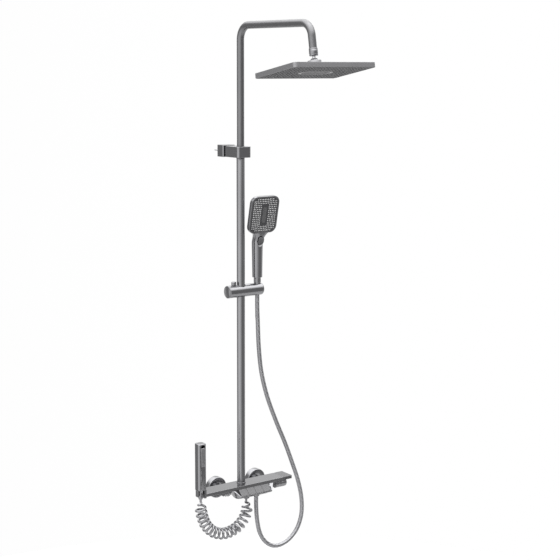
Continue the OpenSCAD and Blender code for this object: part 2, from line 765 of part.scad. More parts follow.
// Curly hose of the sprayer, as the outer shape of its coil
module curly_hose() color("gray") {
    c = smooth(curly_route, 3);
    n = len(c) - 1;
    swept_tube(c, [for (i = [0 : n]) min(coil_r, 4 + 4.2 * min(i, n - i))], 12);
}

mixer_body();
shelf_plate();
spout_shell();
spout_strip();
key_pin();
key_valves();
inlet_unions();
escutcheons();
union_nuts();
inlet_filters();
mixing_cartridge();
outlet_nipples();
riser_base();
lower_riser();
bracket_plate();
bracket_screws();
bracket_base();
bracket_block();
bracket_sleeve();
telescope_bush();
grub_screws();
fork_holder();
hose_nut();
hose();
curly_nut();
curly_hose();
piston_rings();
upper_arm();
arm_nut();
ball_stem();
ball_seat();
head_boss();
head_shell();
head_face();
head_nozzles();
head_inset();
slider_body();
slider_cap();
slider_bush();
clamp_pad();
clamp_knob();
cone_nut();
handset_body();
handset_face();
handset_nozzles();
handset_core();
thumb_button();
button_spring();
lever_hub();
lever_plate();
key_1();
key_2();
key_3();
key_4();
sprayer_body();
sprayer_nozzle();
sprayer_nut();
trigger();
trigger_pin();
trigger_spring();
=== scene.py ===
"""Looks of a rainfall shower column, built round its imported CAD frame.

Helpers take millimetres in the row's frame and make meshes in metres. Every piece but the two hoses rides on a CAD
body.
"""

import json
import math

import bmesh
import bpy
from mathutils import Matrix, Vector


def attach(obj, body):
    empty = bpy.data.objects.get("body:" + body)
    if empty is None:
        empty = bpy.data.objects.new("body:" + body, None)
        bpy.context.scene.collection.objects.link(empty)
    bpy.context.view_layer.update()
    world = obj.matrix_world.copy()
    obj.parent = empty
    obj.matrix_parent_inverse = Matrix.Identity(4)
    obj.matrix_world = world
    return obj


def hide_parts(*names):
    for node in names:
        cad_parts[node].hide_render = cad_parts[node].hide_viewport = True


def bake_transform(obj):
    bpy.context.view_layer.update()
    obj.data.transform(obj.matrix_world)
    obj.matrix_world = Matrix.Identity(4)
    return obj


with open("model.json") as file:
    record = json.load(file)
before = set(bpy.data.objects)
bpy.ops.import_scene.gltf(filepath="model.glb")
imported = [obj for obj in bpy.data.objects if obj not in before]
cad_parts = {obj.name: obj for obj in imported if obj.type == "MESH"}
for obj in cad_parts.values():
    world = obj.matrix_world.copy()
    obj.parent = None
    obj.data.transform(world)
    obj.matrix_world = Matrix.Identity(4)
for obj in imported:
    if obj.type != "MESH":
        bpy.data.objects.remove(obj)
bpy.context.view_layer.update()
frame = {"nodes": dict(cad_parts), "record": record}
SCENE = bpy.context.scene
MM = 0.001
TAU = 2 * math.pi

# ---- places, in millimetres, as in the CAD source ----
RISER = (-37.0, -95.0)
ARM_R = 11.0
ARM_Z = 1428.0
BEND_R = 42.0
ARM_RUN = 263.0
ARM_FOOT = 866.0
DROP = 41.0
TILT = 10.0
HANDSET_X = 24.0
SLIDER_Z = 635.0
SLIDER_R = 19.0
BRACKET_Z = 1056.0
SPRAY = (-208.5, -129.0)
SPRAY_W = 28.0
SPRAY_FOOT = 48.0
PANEL_X = -14.0
PANEL_LEAN = 42
KEY_W = 28.0
HUB = (-104.0, 6.0)
INLET_X = 75.0
ARM_Y0 = RISER[1] - BEND_R
ARM_Y1 = ARM_Y0 - ARM_RUN
DOWN = math.radians(90 - TILT)


def arm_end(past):
    """Point on the arm's last straight, that far past its bend."""
    y = ARM_Y1 - BEND_R * math.sin(DOWN) - past * math.cos(DOWN)
    z = ARM_Z - BEND_R * (1 - math.cos(DOWN)) - past * math.sin(DOWN)
    return (RISER[0], y, z)


BALL = arm_end(DROP + 32)


def place(origin, x_turn=0.0):
    """Frame at a point, turned about X by degrees."""
    return Matrix.Translation(origin) @ Matrix.Rotation(math.radians(x_turn), 4, "X")


LEVEL = Matrix.Identity(4)
HEAD = place(BALL, -TILT)
PANEL = place((0, -128, 21), PANEL_LEAN)
FACE = place((HANDSET_X, -113, 811), 12)
ALONG_X = Matrix.Rotation(math.radians(90), 4, "Y")
ALONG_Y = Matrix.Rotation(math.radians(-90), 4, "X")
TOWARD_ROOM = Matrix.Rotation(math.radians(90), 4, "X")
FACE_FRONT = FACE @ TOWARD_ROOM
BUTTON = place((HANDSET_X, -114, 786), 108)


# ---- materials ----
def material(name, color, metallic, rough, stretch=(1, 1, 1), grain=400.0, bump=0.02, spread=0.08,
             tint=0.06, coat=0.0, specular=0.5):
    """Principled material with grain in its roughness and height, and slow change in its colour."""
    m = bpy.data.materials.new(name)
    m.use_nodes = True
    nodes, links = m.node_tree.nodes, m.node_tree.links
    shader = nodes["Principled BSDF"]
    shader.inputs["Metallic"].default_value = metallic
    shader.inputs["Coat Weight"].default_value = coat
    shader.inputs["Specular IOR Level"].default_value = specular
    place_in = nodes.new("ShaderNodeTexCoord")
    scale = nodes.new("ShaderNodeMapping")
    scale.inputs["Scale"].default_value = stretch
    links.new(place_in.outputs["Object"], scale.inputs["Vector"])
    fine = nodes.new("ShaderNodeTexNoise")
    fine.inputs["Scale"].default_value = grain
    fine.inputs["Detail"].default_value = 4
    links.new(scale.outputs["Vector"], fine.inputs["Vector"])
    slow = nodes.new("ShaderNodeTexNoise")
    slow.inputs["Scale"].default_value = 9
    slow.inputs["Detail"].default_value = 3
    links.new(place_in.outputs["Object"], slow.inputs["Vector"])
    rough_range = nodes.new("ShaderNodeMapRange")
    rough_range.inputs["To Min"].default_value = max(0.02, rough - spread)
    rough_range.inputs["To Max"].default_value = rough + spread
    links.new(fine.outputs["Fac"], rough_range.inputs["Value"])
    links.new(rough_range.outputs["Result"], shader.inputs["Roughness"])
    ramp = nodes.new("ShaderNodeValToRGB")
    ramp.color_ramp.elements[0].position = 0.3
    ramp.color_ramp.elements[1].position = 0.7
    for element, change in zip(ramp.color_ramp.elements, (1 - tint, 1 + tint)):
        element.color = [min(1.0, c * change) for c in color] + [1]
    links.new(slow.outputs["Fac"], ramp.inputs["Fac"])
    links.new(ramp.outputs["Color"], shader.inputs["Base Color"])
    height = nodes.new("ShaderNodeBump")
    height.inputs["Strength"].default_value = bump
    height.inputs["Distance"].default_value = 0.001
    links.new(fine.outputs["Fac"], height.inputs["Height"])
    links.new(height.outputs["Normal"], shader.inputs["Normal"])
    return m


GUN = (0.235, 0.235, 0.243)
GUN_Z = material("gunmetal_up", GUN, 1.0, 0.20, (1, 1, 0.02), 900, 0.004, 0.04)
GUN_X = material("gunmetal_across", GUN, 1.0, 0.20, (0.02, 1, 1), 900, 0.004, 0.04)
GUN_Y = material("gunmetal_deep", GUN, 1.0, 0.20, (1, 0.02, 1), 900, 0.004, 0.04)
GUN_FINE = material("gunmetal_fine", GUN, 1.0, 0.20, (1, 1, 1), 1500, 0.004, 0.04)
GUN_SATIN = material("gunmetal_satin", (0.25, 0.25, 0.257), 1.0, 0.46, (1, 1, 1), 1300, 0.006)
GUN_ARM = material("gunmetal_brushed", (0.17, 0.17, 0.175), 1.0, 0.36, (1, 1, 1), 1300, 0.006)
GUN_GLOSS = material("gunmetal_polished", (0.262, 0.262, 0.27), 1.0, 0.10, (0.05, 1, 1), 700, 0.003, 0.03)
GUN_DARK = material("gunmetal_shadowed", (0.15, 0.15, 0.155), 1.0, 0.30, (1, 1, 1), 1200, 0.006)
KEY_GREY = material("key_grey", (0.105, 0.105, 0.108), 0.45, 0.50, (1, 1, 1), 1400, 0.01)
FACE_DARK = material("spray_plate", (0.055, 0.055, 0.058), 0.0, 0.55, (1, 1, 1), 1100, 0.03, specular=0.12)
STEEL = material("satin_steel", (0.50, 0.50, 0.51), 1.0, 0.24, (1, 1, 0.1), 800, 0.03)
BRASS = material("machined_brass", (0.72, 0.55, 0.26), 1.0, 0.30, (1, 0.1, 1), 800, 0.04)
HOSE_METAL = material("spiral_metal", (0.27, 0.27, 0.28), 1.0, 0.20, (1, 1, 1), 1300, 0.005)
CURL_GREY = material("curl_sleeve", (0.23, 0.23, 0.24), 0.9, 0.16, (1, 1, 1), 600, 0.006, coat=0.3)
BLACK = material("black_acetal", (0.035, 0.035, 0.038), 0.0, 0.45, (1, 1, 1), 900, 0.05)
WHITE = material("white_acetal", (0.78, 0.78, 0.76), 0.0, 0.42, (1, 1, 1), 700, 0.04, tint=0.02)
SILICONE_DARK = material("dark_silicone", (0.20, 0.20, 0.205), 0.0, 0.60, (1, 1, 1), 1200, 0.04, specular=0.15)
SILICONE = material("grey_silicone", (0.66, 0.66, 0.66), 0.0, 0.50, (1, 1, 1), 1200, 0.06)

SLOT_LOOK = {
    "gunmetal": GUN_FINE, "dark_metal": FACE_DARK, "steel": STEEL, "brass": BRASS, "key_grey": KEY_GREY,
    "hose_metal": HOSE_METAL, "grey_plastic": CURL_GREY, "dark_plastic": BLACK, "white_plastic": WHITE,
    "grey_rubber": SILICONE}
SLOT_OF = {s["node"]: s["material_slot"] for s in frame["record"]["subparts"]}
CAD_LOOK = {"lower_riser": GUN_Z, "mixer_body": GUN_FINE}
for node_name, node in frame["nodes"].items():
    look = CAD_LOOK.get(node_name, SLOT_LOOK[SLOT_OF[node_name]])
    node.data.materials.clear()
    node.data.materials.append(look)


# ---- mesh helpers ----
def finish_mesh(ob, sharp=38):
    """Smooth shading that breaks at edges sharper than the angle."""
    ob.data.shade_smooth()
    ob.data.set_sharp_from_angle(angle=math.radians(sharp))


def make(name, verts, faces, where=LEVEL, sharp=38):
    """Mesh object from points in millimetres, closed and facing outwards."""
    mesh = bpy.data.meshes.new(name)
    mesh.from_pydata([(where @ Vector(v)) * MM for v in verts], [], faces)
    tidy = bmesh.new()
    tidy.from_mesh(mesh)
    bmesh.ops.remove_doubles(tidy, verts=tidy.verts, dist=1e-7)
    bmesh.ops.recalc_face_normals(tidy, faces=tidy.faces)
    tidy.to_mesh(mesh)
    tidy.free()
    ob = bpy.data.objects.new(name, mesh)
    SCENE.collection.objects.link(ob)
    finish_mesh(ob, sharp)
    return ob


def stack(name, rings, where=LEVEL, sharp=38, closed=False):
    """Skin over rings of equal counts, capped at both ends, or joined end to end."""
    n = len(rings[0])
    verts = [v for ring in rings for v in ring]
    count = len(rings) if closed else len(rings) - 1
    faces = [
        (i * n + k, i * n + (k + 1) % n, (i + 1) % len(rings) * n + (k + 1) % n, (i + 1) % len(rings) * n + k)
        for i in range(count) for k in range(n)]
    if not closed:
        faces += [tuple(range(n - 1, -1, -1)), tuple(range((len(rings) - 1) * n, len(rings) * n))]
    return make(name, verts, faces, where, sharp)


def lathe(name, profile, where=LEVEL, n=64, closed=False, flutes=0, depth=0.0, band=(0, 0), sharp=38):
    """Turned piece: profile is (radius, height) pairs, with flutes cut between the band's heights."""
    rings = []
    for r, h in profile:
        cut = depth if band[0] <= h <= band[1] else 0.0
        ring = []
        for k in range(n):
            a = TAU * k / n
            rr = max(r, 0.001) - cut * (0.5 - 0.5 * math.cos(flutes * a))
            ring.append((rr * math.cos(a), rr * math.sin(a), h))
        rings.append(ring)
    return stack(name, rings, where, sharp, closed)


def rounded(points, steps=5):
    """Outline with rounded corners, from (x, y, radius) points."""
    out = []
    for i, (x, y, r) in enumerate(points):
        corner = Vector((x, y))
        if r <= 0:
            out.append((x, y))
            continue
        to_a = (Vector(points[i - 1][:2]) - corner).normalized()
        to_b = (Vector(points[(i + 1) % len(points)][:2]) - corner).normalized()
        half = to_a.angle(to_b) / 2
        middle = corner + (to_a + to_b).normalized() * (r / math.sin(half))
        start = corner + to_a * (r / math.tan(half)) - middle
        end = corner + to_b * (r / math.tan(half)) - middle
        turn = math.pi - 2 * half
        for k in range(steps + 1):
            t = k / steps
            p = middle + (start * math.sin((1 - t) * turn) + end * math.sin(t * turn)) / math.sin(turn)
            out.append((p.x, p.y))
    return out


def rectangle(w, d, r, steps=6):
    """Rounded rectangle about the origin, always with the same count of points."""
    r = max(0.05, min(r, w / 2 - 0.01, d / 2 - 0.01))
    x, y = w / 2, d / 2
    return rounded([(x, -y, r), (x, y, r), (-x, y, r), (-x, -y, r)], steps)


def fillets(z0, z1, f0, f1, steps=4):
    """(height, inset) levels of a slab with rounded lower and upper edges."""
    low = [(z0 + f0 * (1 - math.cos(k * math.pi / 2 / steps)), f0 * (1 - math.sin(k * math.pi / 2 / steps)))
           for k in range(steps + 1)]
    high = [(z1 - f1 * (1 - math.sin(a)), f1 * (1 - math.cos(a)))
            for a in (k * math.pi / 2 / steps for k in range(steps + 1))]
    return low + high


def block(name, w, d, r, z0, z1, f0=0.6, f1=0.6, where=LEVEL, at=(0.0, 0.0), steps=6, sharp=38):
    """Rounded slab about a point, standing from z0 to z1, with rounded edges."""
    rings = []
    for z, inset in fillets(z0, z1, f0, f1):
        outline = rectangle(w - 2 * inset, d - 2 * inset, r - inset, steps)
        rings.append([(x + at[0], y + at[1], z) for x, y in outline])
    ob = stack(name, rings, where, sharp)
    weigh(ob)
    return ob


def weigh(ob):
    """Flat faces keep flat shading beside their rounded edges."""
    ob.modifiers.new("weigh", "WEIGHTED_NORMAL").keep_sharp = True


def prism(name, outline, z0, z1, where=LEVEL, edge=0.6, segments=3):
    """Extruded outline with rounded rims."""
    rings = [[(x, y, z) for x, y in outline] for z in (z0, z1)]
    ob = stack(name, rings, where, sharp=50)
    if edge:
        bevel = ob.modifiers.new("rims", "BEVEL")
        bevel.width = edge * MM
        bevel.segments = segments
        bevel.limit_method = "ANGLE"
        bevel.angle_limit = math.radians(45)
        settle(ob)
        weigh(ob)
    return ob


def settle(ob, sharp=38):
    """Applies what modifiers there are."""
    graph = bpy.context.evaluated_depsgraph_get()
    mesh = bpy.data.meshes.new_from_object(ob.evaluated_get(graph))
    ob.modifiers.clear()
    ob.data = mesh
    finish_mesh(ob, sharp)


def carve(ob, *cutters):
    """Cuts other objects' shapes out of one, and removes them."""
    settle(ob)
    for cutter in cutters:
        settle(cutter)
        cut = ob.modifiers.new("cut", "BOOLEAN")
        cut.operation = "DIFFERENCE"
        cut.solver = "EXACT"
        cut.object = cutter
    bpy.context.view_layer.update()
    settle(ob)
    for cutter in cutters:
        bpy.data.objects.remove(cutter)
    weigh(ob)
    return ob


def join(name, *obs):
    """One object from several."""
    for ob in obs:
        settle(ob)
    whole = bmesh.new()
    for ob in obs:
        whole.from_mesh(ob.data)
    mesh = bpy.data.meshes.new(name)
    whole.to_mesh(mesh)
    whole.free()
    for ob in obs:
        bpy.data.objects.remove(ob)
    out = bpy.data.objects.new(name, mesh)
    SCENE.collection.objects.link(out)
    finish_mesh(out)
    return out


def tube(name, path, radius, n=24, twist=0.0, sharp=60):
    """Round tube along a path in millimetres. radius is a number or a function of length and angle."""
    points = [Vector(p) for p in path]
    side = Vector((0, 0, 0))
    rings, length = [], 0.0
    for i, p in enumerate(points):
        ahead = (points[min(i + 1, len(points) - 1)] - points[max(i - 1, 0)]).normalized()
        if i == 0:
            side = ahead.orthogonal().normalized()
        else:
            length += (p - points[i - 1]).length
            side = (side - ahead * side.dot(ahead)).normalized()
        up = ahead.cross(side)
        ring = []
        for k in range(n):
            a = TAU * k / n
            r = radius(length, a) if callable(radius) else radius
            ring.append(p + side * (r * math.cos(a)) + up * (r * math.sin(a)))
        rings.append(ring)
    return stack(name, rings, LEVEL, sharp)


def piece(ob, body, look, slot, *nodes):
    """Material, body if it rides on one, and the CAD nodes that a piece stands for. The slot argument is not used."""
    ob.data.materials.clear()
    ob.data.materials.append(look)
    if body:
        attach(ob, body)
    if nodes:
        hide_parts(*nodes)
    return ob


def smooth(route, steps):
    """Points on the smooth curve through a route, as the CAD source sweeps it."""
    out = []
    for i in range(len(route) - 1):
        a, b = Vector(route[max(i - 1, 0)]), Vector(route[i])
        c, d = Vector(route[i + 1]), Vector(route[min(i + 2, len(route) - 1)])
        for k in range(steps):
            t = k / steps
            out.append(0.5 * (2 * b + (c - a) * t + (2 * a - 5 * b + 4 * c - d) * t * t
                              + (3 * b - a - 3 * c + d) * t * t * t))
    return out + [Vector(route[-1])]


def resample(points, gap):
    """Points at even spacing along a line of points."""
    total = sum((b - a).length for a, b in zip(points, points[1:]))
    count = max(2, round(total / gap))
    out, i, walked = [points[0]], 0, 0.0
    for k in range(1, count):
        target = total * k / count
        while walked + (points[i + 1] - points[i]).length < target:
            walked += (points[i + 1] - points[i]).length
            i += 1
        step = (points[i + 1] - points[i]).length
        out.append(points[i].lerp(points[i + 1], (target - walked) / step))
    return out + [points[-1]]


def run_length(points):
    """Length of a line of points."""
    return sum((b - a).length for a, b in zip(points, points[1:]))


# ---- camera ----
EYE = Vector((-2.298, -3.395, 1.316))
LOOK = Vector((0.58195, 0.79743, -0.1599)).normalized()
ROLL = math.radians(0.17)
camera = bpy.data.objects.new("camera", bpy.data.cameras.new("camera"))
SCENE.collection.objects.link(camera)
camera.data.lens = 85.76
camera.data.sensor_width = 36.0
camera.data.clip_end = 900.0
aim = LOOK.to_track_quat("-Z", "Y").to_matrix().to_4x4()
camera.matrix_world = Matrix.Translation(EYE) @ aim @ Matrix.Rotation(ROLL, 4, "Z")
SCENE.camera = camera

# ---- hoses ----
HOSE_ROUTE = [
    (24, -95, 617.7), (24, -95, 580), (26, -95, 530), (30, -95, 450), (40, -95, 370), (62, -95, 290),
    (96, -96, 205), (130, -97, 130), (158, -98, 60), (180, -99, 0), (194, -100, -60), (195, -100, -115),
    (180, -99, -160), (152, -98, -190), (118, -97, -204), (84, -96, -202), (55, -95, -182),
    (35, -94, -150), (25, -93, -105), (22, -92, -60), (22, -92, -26.4)]
CURLY_ROUTE = [
    (-208.5, -129, 17.4), (-208, -128, 2), (-206, -127, -20), (-199, -125, -44), (-186, -122, -70),
    (-166, -119, -92), (-142, -116, -107), (-114, -113, -115), (-86, -109, -115), (-60, -105, -108),
    (-38, -101, -95), (-22, -97, -77), (-15, -94, -55), (-16, -92, -38), (-16, -92, -26.4)]
HOSE_R = 7.0
SPIRAL_PITCH = 3.6
CURL_R = 3.7
CURL_MEAN_R = 15.2
CURL_TURNS = 20
CURL_STRAIGHT = 6.0
CURL_LEAD = 26.0


def spiral_skin(length, angle):
    """Radius of a metal hose wound from one strip: a crowned band with a narrow groove beside it."""
    phase = (length / SPIRAL_PITCH + angle / TAU) % 1.0
    return HOSE_R - 0.15 - 0.75 * max(0.0, math.cos((phase - 0.5) * TAU)) ** 6


def hose_nut(name, x):
    """Fluted nut at a hose's end, under the mixer."""
    profile = [(7.4, -26), (8.6, -25.9), (9.6, -25), (10.1, -24), (10.3, -23), (10.5, -22.6), (10.5, -21),
               (10.5, -17), (10.5, -15.4), (10.2, -15), (10.2, -14), (10.5, -13.6), (10.5, -12), (10.1, -11.1),
               (8.2, -11.02)]
    return lathe(name, profile, place((x, -92, 0)), 96, flutes=24, depth=0.55, band=(-22.7, -15.3))


hose_line = resample(smooth(HOSE_ROUTE, 12), 0.75)
hose = tube("hose_spiral", hose_line, spiral_skin, 20)
nut = piece(hose_nut("hose_nut_fluted", 22), "root", GUN_FINE, "gunmetal", "hose_nut")
piece(hose, None, HOSE_METAL, "hose_metal", "hose")
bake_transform(hose)

# The end of the hose that lifts out of the slider with the handset
tail_line = resample([Vector((24, -95, 617.6)), Vector((24, -95, 545))], 1.2)
hose_tail = tube("hose_tail", tail_line, lambda s, a: spiral_skin(s, a) - 0.5, 20)
piece(hose_tail, "hose_end", HOSE_METAL, "hose_metal")

mid = resample(smooth(CURLY_ROUTE, 12), 0.5)
mid_length = run_length(mid)
curl_line = []
side = Vector((1, 0, 0))
walked = 0.0
for i, point in enumerate(mid):
    ahead = (mid[min(i + 1, len(mid) - 1)] - mid[max(i - 1, 0)]).normalized()
    side = (side - ahead * side.dot(ahead)).normalized()
    up = ahead.cross(side)
    if i:
        walked += (point - mid[i - 1]).length
    from_end = min(walked, mid_length - walked)
    open_by = min(1.0, max(0.0, (from_end - CURL_STRAIGHT) / CURL_LEAD))
    reach = CURL_MEAN_R * open_by * open_by * (3 - 2 * open_by)
    turn = TAU * (0.5 + CURL_TURNS * walked / mid_length)
    curl_line.append(point + side * (reach * math.cos(turn)) + up * (reach * math.sin(turn)))
curl_line = resample(curl_line, 2.0)
curl = tube("curl_tube", curl_line, CURL_R, 14)
curl_nut = piece(hose_nut("curly_nut_fluted", -16), "root", GUN_FINE, "gunmetal", "curly_nut")
piece(curl, None, CURL_GREY, "grey_plastic", "curly_hose")
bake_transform(curl)

# ---- riser, arm and bracket ----
ARC = 24
arm_line = [(RISER[0], RISER[1], ARM_FOOT), (RISER[0], RISER[1], ARM_Z - BEND_R)]
for k in range(1, ARC + 1):
    a = math.pi / 2 * k / ARC
    arm_line.append((RISER[0], ARM_Y0 + BEND_R * math.cos(a), ARM_Z - BEND_R + BEND_R * math.sin(a)))
arm_line.append((RISER[0], ARM_Y1, ARM_Z))
for k in range(1, ARC + 1):
    a = DOWN * k / ARC
    arm_line.append((RISER[0], ARM_Y1 - BEND_R * math.sin(a), ARM_Z - BEND_R * (1 - math.cos(a))))
arm_line.append(arm_end(DROP))
piece(tube("arm_tube", arm_line, ARM_R, 48), "arm", GUN_ARM, "gunmetal", "upper_arm")

nut_profile = [(9.2, 17), (11.4, 17), (12.2, 17.6), (12.4, 18.6), (12.4, 21), (12.0, 21.4), (12.0, 22.4), (12.4, 22.8),
               (12.4, 33.2), (12.0, 33.6), (12.0, 34.6), (12.4, 35), (12.4, 36.8), (12.1, 37.7), (11.05, 38)]
piece(lathe("arm_collar", nut_profile, HEAD, 96, flutes=32, depth=0.4, band=(22.7, 33.3)), "arm", GUN_FINE,
      "gunmetal", "arm_nut")
ball = [(10 * math.sin(a), -10 * math.cos(a)) for a in (math.pi * k / 28 for k in range(25)) if 10 * math.sin(a) >= 4.8
        or a < 1.5]
stem_profile = ball + [(4.8, 10.5), (4.8, 15.4), (5.6, 16.6), (8.6, 17.2), (9.0, 17.6), (9.0, 31.8), (9.4, 31.9),
                       (9.4, 43.5), (8.9, 43.9)]
piece(lathe("ball_joint", stem_profile, HEAD, 48), "arm", STEEL, "steel", "ball_stem")
cup = [(12.55 * math.sin(a), -12.55 * math.cos(a)) for a in (math.pi * (0.11 + 0.52 * k / 16) for k in range(17))]
boss_profile = ([(18.0, -16), (18.8, -15.4), (19.4, -14.6), (19.4, 2.6), (18.6, 3.8), (17.0, 4.6), (13.8, 4.9),
                 (12.4, 5.0)] + cup[::-1] + [(4, -13), (4, -16)])
piece(lathe("head_socket", boss_profile, HEAD, 64, closed=True), "rain_head", GUN_SATIN, "gunmetal", "head_boss")

ring_seam = [(12.6, 30.0), (14.0, 30.0), (14.4, 30.3), (14.4, 32.0), (13.9, 32.6), (12.6, 32.6)]
piece(lathe("riser_collar", ring_seam, place((*RISER, 0)), 64, closed=True), "root", GUN_FINE, "gunmetal",
      "riser_base")
riser_profile = [(11.25, 11), (12.5, 11), (12.5, 1065.4), (12.2, 1066), (11.25, 1066)]
piece(lathe("riser_tube", riser_profile, place((*RISER, 0)), 64, closed=True), "root", GUN_Z, "gunmetal",
      "lower_riser")

holder = block("riser_holder", 48, 73, 8, BRACKET_Z - 16.5, BRACKET_Z + 16.5, 1.2, 1.2, LEVEL, (RISER[0], -81.5), 8)
bore = lathe("bore", [(14.9, BRACKET_Z - 17.5), (14.0, BRACKET_Z - 15.6), (14.0, BRACKET_Z + 15.6),
                      (14.9, BRACKET_Z + 17.5)], place((*RISER, 0)), 64)
piece(carve(holder, bore), "root", GUN_FINE, "gunmetal", "bracket_block")
cover = block("wall_cover", 44, 34, 4, BRACKET_Z - 18, BRACKET_Z + 18, 1.0, 1.0, LEVEL, (RISER[0], -17), 6)
pocket = block("pocket", 32, 13, 0.1, BRACKET_Z - 13.2, BRACKET_Z + 13.2, 0, 0, LEVEL, (RISER[0], -5.5), 1)
grub_way = lathe("grub_way", [(2.05, -19), (2.05, -13)], place((RISER[0], -8, BRACKET_Z)), 24)
neck = block("bracket_neck", 26, 13, 1, BRACKET_Z - 11, BRACKET_Z + 11, 0.8, 0.8, LEVEL, (RISER[0], -39.2), 4)
piece(join("bracket_cover", carve(cover, pocket, grub_way), neck), "root", GUN_FINE, "gunmetal", "bracket_base")

# ---- rain head ----
HEAD_FOOT = -30.0
tray = block("rain_tray", 280, 190, 10, HEAD_FOOT, -16, 0.7, 0.9, HEAD, steps=8)
recess = block("recess", 276, 186, 8, HEAD_FOOT - 1, HEAD_FOOT + 1.2, 0, 0, HEAD, steps=8)
piece(carve(tray, recess), "rain_head", GUN_SATIN, "gunmetal", "head_shell")
piece(block("rain_plate", 275.4, 185.4, 7.8, HEAD_FOOT + 0.5, HEAD_FOOT + 3, 0.4, 0, HEAD, steps=8), "rain_head",
      FACE_DARK, "dark_metal", "head_face")


def stadium(w, d, steps=16):
    """Outline with round ends, w long and d wide."""
    return rectangle(w, d, d / 2 - 0.02, steps)


def oval_ring(name, outer, inner, z0, z1, where):
    """Flat ring between two outlines of equal counts, with softened rims."""
    rings = [[(x, y, z) for x, y in outline] for outline, z in
             ((inner, z1), (inner, z0 + 0.3), (outer, z0 + 0.3), (outer, z1))]
    lip = [[(x, y, z0) for x, y in stadium(*size)] for size in ((95.2, 25.2), (110.6, 40.6))]
    return stack(name, [rings[0], rings[1], lip[0], lip[1], rings[2], rings[3]], where, 30, True)


ring = oval_ring("mist_ring", stadium(111.4, 41.4), stadium(94.4, 24.4), HEAD_FOOT - 0.2, HEAD_FOOT + 2, HEAD)
insert = block("mist_plate", 94, 24, 11.9, HEAD_FOOT + 0.3, HEAD_FOOT + 2.4, 0.4, 0, HEAD, steps=12)
piece(ring, "rain_head", GUN_DARK, "steel", "head_inset")
piece(insert, "rain_head", FACE_DARK, "dark_metal")


def nozzle_field(name, spots, shape, where, n=10):
    """Soft nozzles at (x, y) spots: shape is (radius, height) rings from base to tip."""
    verts, faces = [], []
    for x, y in spots:
        start = len(verts)
        for r, h in shape:
            verts += [(x + r * math.cos(TAU * k / n), y + r * math.sin(TAU * k / n), h) for k in range(n)]
        for i in range(len(shape) - 1):
            faces += [(start + i * n + k, start + i * n + (k + 1) % n, start + (i + 1) * n + (k + 1) % n,
                       start + (i + 1) * n + k) for k in range(n)]
        faces.append(tuple(start + k for k in range(n - 1, -1, -1)))
        faces.append(tuple(start + (len(shape) - 1) * n + k for k in range(n)))
    return make(name, verts, faces, where, 50)


RAIN_PITCH = 10.8
rain_spots = [(i * RAIN_PITCH, j * RAIN_PITCH) for i in range(-12, 13) for j in range(-8, 9)
              if abs(i * RAIN_PITCH) > 62 or abs(j * RAIN_PITCH) > 26]
rain_tip = [(2.1, HEAD_FOOT + 0.7), (2.1, HEAD_FOOT + 0.2), (1.8, HEAD_FOOT - 0.6), (1.5, HEAD_FOOT - 1.2),
            (0.7, HEAD_FOOT - 1.3), (0.6, HEAD_FOOT - 0.8)]
mist_spots = [(i * 6.0, j * 6.0) for i in range(-6, 7) for j in (-1, 0, 1)]
mist_tip = [(0.9, HEAD_FOOT + 0.5), (0.9, HEAD_FOOT + 0.2), (0.6, HEAD_FOOT), (0.3, HEAD_FOOT)]
field = join("rain_nozzles", nozzle_field("a", rain_spots, rain_tip, HEAD),
             nozzle_field("b", mist_spots, mist_tip, HEAD, 8))
piece(field, "rain_head", SILICONE_DARK, "grey_rubber", "head_nozzles")

# ---- mixer ----
SHELF_LEFT, SHELF_RIGHT = -192.0, 103.5
SHELF_FRONT, SHELF_BACK = -128.0, -73.0
SHELF_FOOT, SHELF_TOP = 20.0, 30.0
SHELF_DEPTH = SHELF_BACK - SHELF_FRONT
SHELF_MID = (SHELF_FRONT + SHELF_BACK) / 2
shelf = block("shelf", SHELF_RIGHT - SHELF_LEFT, SHELF_DEPTH, 3, SHELF_FOOT, SHELF_TOP, 0.6, 0.6, LEVEL,
              ((SHELF_LEFT + SHELF_RIGHT) / 2, SHELF_MID))
piece(shelf, "root", GUN_GLOSS, "gunmetal", "shelf_plate")
LEVER_LEFT, LEVER_RIGHT = 104.0, 136.0
plate = block("lever_plate_top", LEVER_RIGHT - LEVER_LEFT, SHELF_DEPTH, 3, SHELF_FOOT, SHELF_TOP, 0.6, 0.6, LEVEL,
              ((LEVER_LEFT + LEVER_RIGHT) / 2, SHELF_MID))
piece(plate, "lever", GUN_DARK, "gunmetal", "lever_plate")

HUB_AT = Matrix.Translation((0, *HUB)) @ ALONG_X
HUB_R = 13.9
hub_profile = [(4.1, LEVER_LEFT), (13.4, LEVER_LEFT), (HUB_R, LEVER_LEFT + 0.5), (HUB_R, 120)]
hub_profile += [(HUB_R - 5 + 5 * math.cos(a), 120 + 5 * math.sin(a))
                for a in (math.pi / 2 * k / 6 for k in range(1, 7))]
hub = lathe("lever_barrel", hub_profile + [(4.5, 125.2), (4.1, 124.4)], HUB_AT, 64)
stalk = block("lever_stalk", 18, 16, 3, 6, 19.99, 0, 0, LEVEL, (113, -104))
piece(join("lever_hub_turned", hub, stalk), "lever", GUN_X, "gunmetal", "lever_hub")

# Housing: trapezoids that follow the panel's slope in front and narrow back to the body
SPOUT = [
    (-148, 58, 57.5, 0), (-143, 62.5, 60, -3.5), (-136, 68.8, 64, -5.5), (-128.8, 75.3, 67, -5.5),
    (-120, 76, 68, -3.5), (-112, 76, 68, 0), (-107, 76, 68, 3)]


def housing_ring(depth, top_half, foot_half, foot):
    """Section of the housing at a depth: flat top, sloped sides, rounded lower corners."""
    top = min(SHELF_FOOT - 0.05, 20.95 + (depth - SHELF_FRONT) * math.tan(math.radians(PANEL_LEAN)))
    bend = min(3.0, (top - foot) * 0.4)
    outline = rounded([(top_half, top, 0.35), (-top_half, top, 0.35), (-foot_half, foot, bend),
                       (foot_half, foot, bend)], 5)
    return [(PANEL_X + x, depth, z) for x, z in outline]


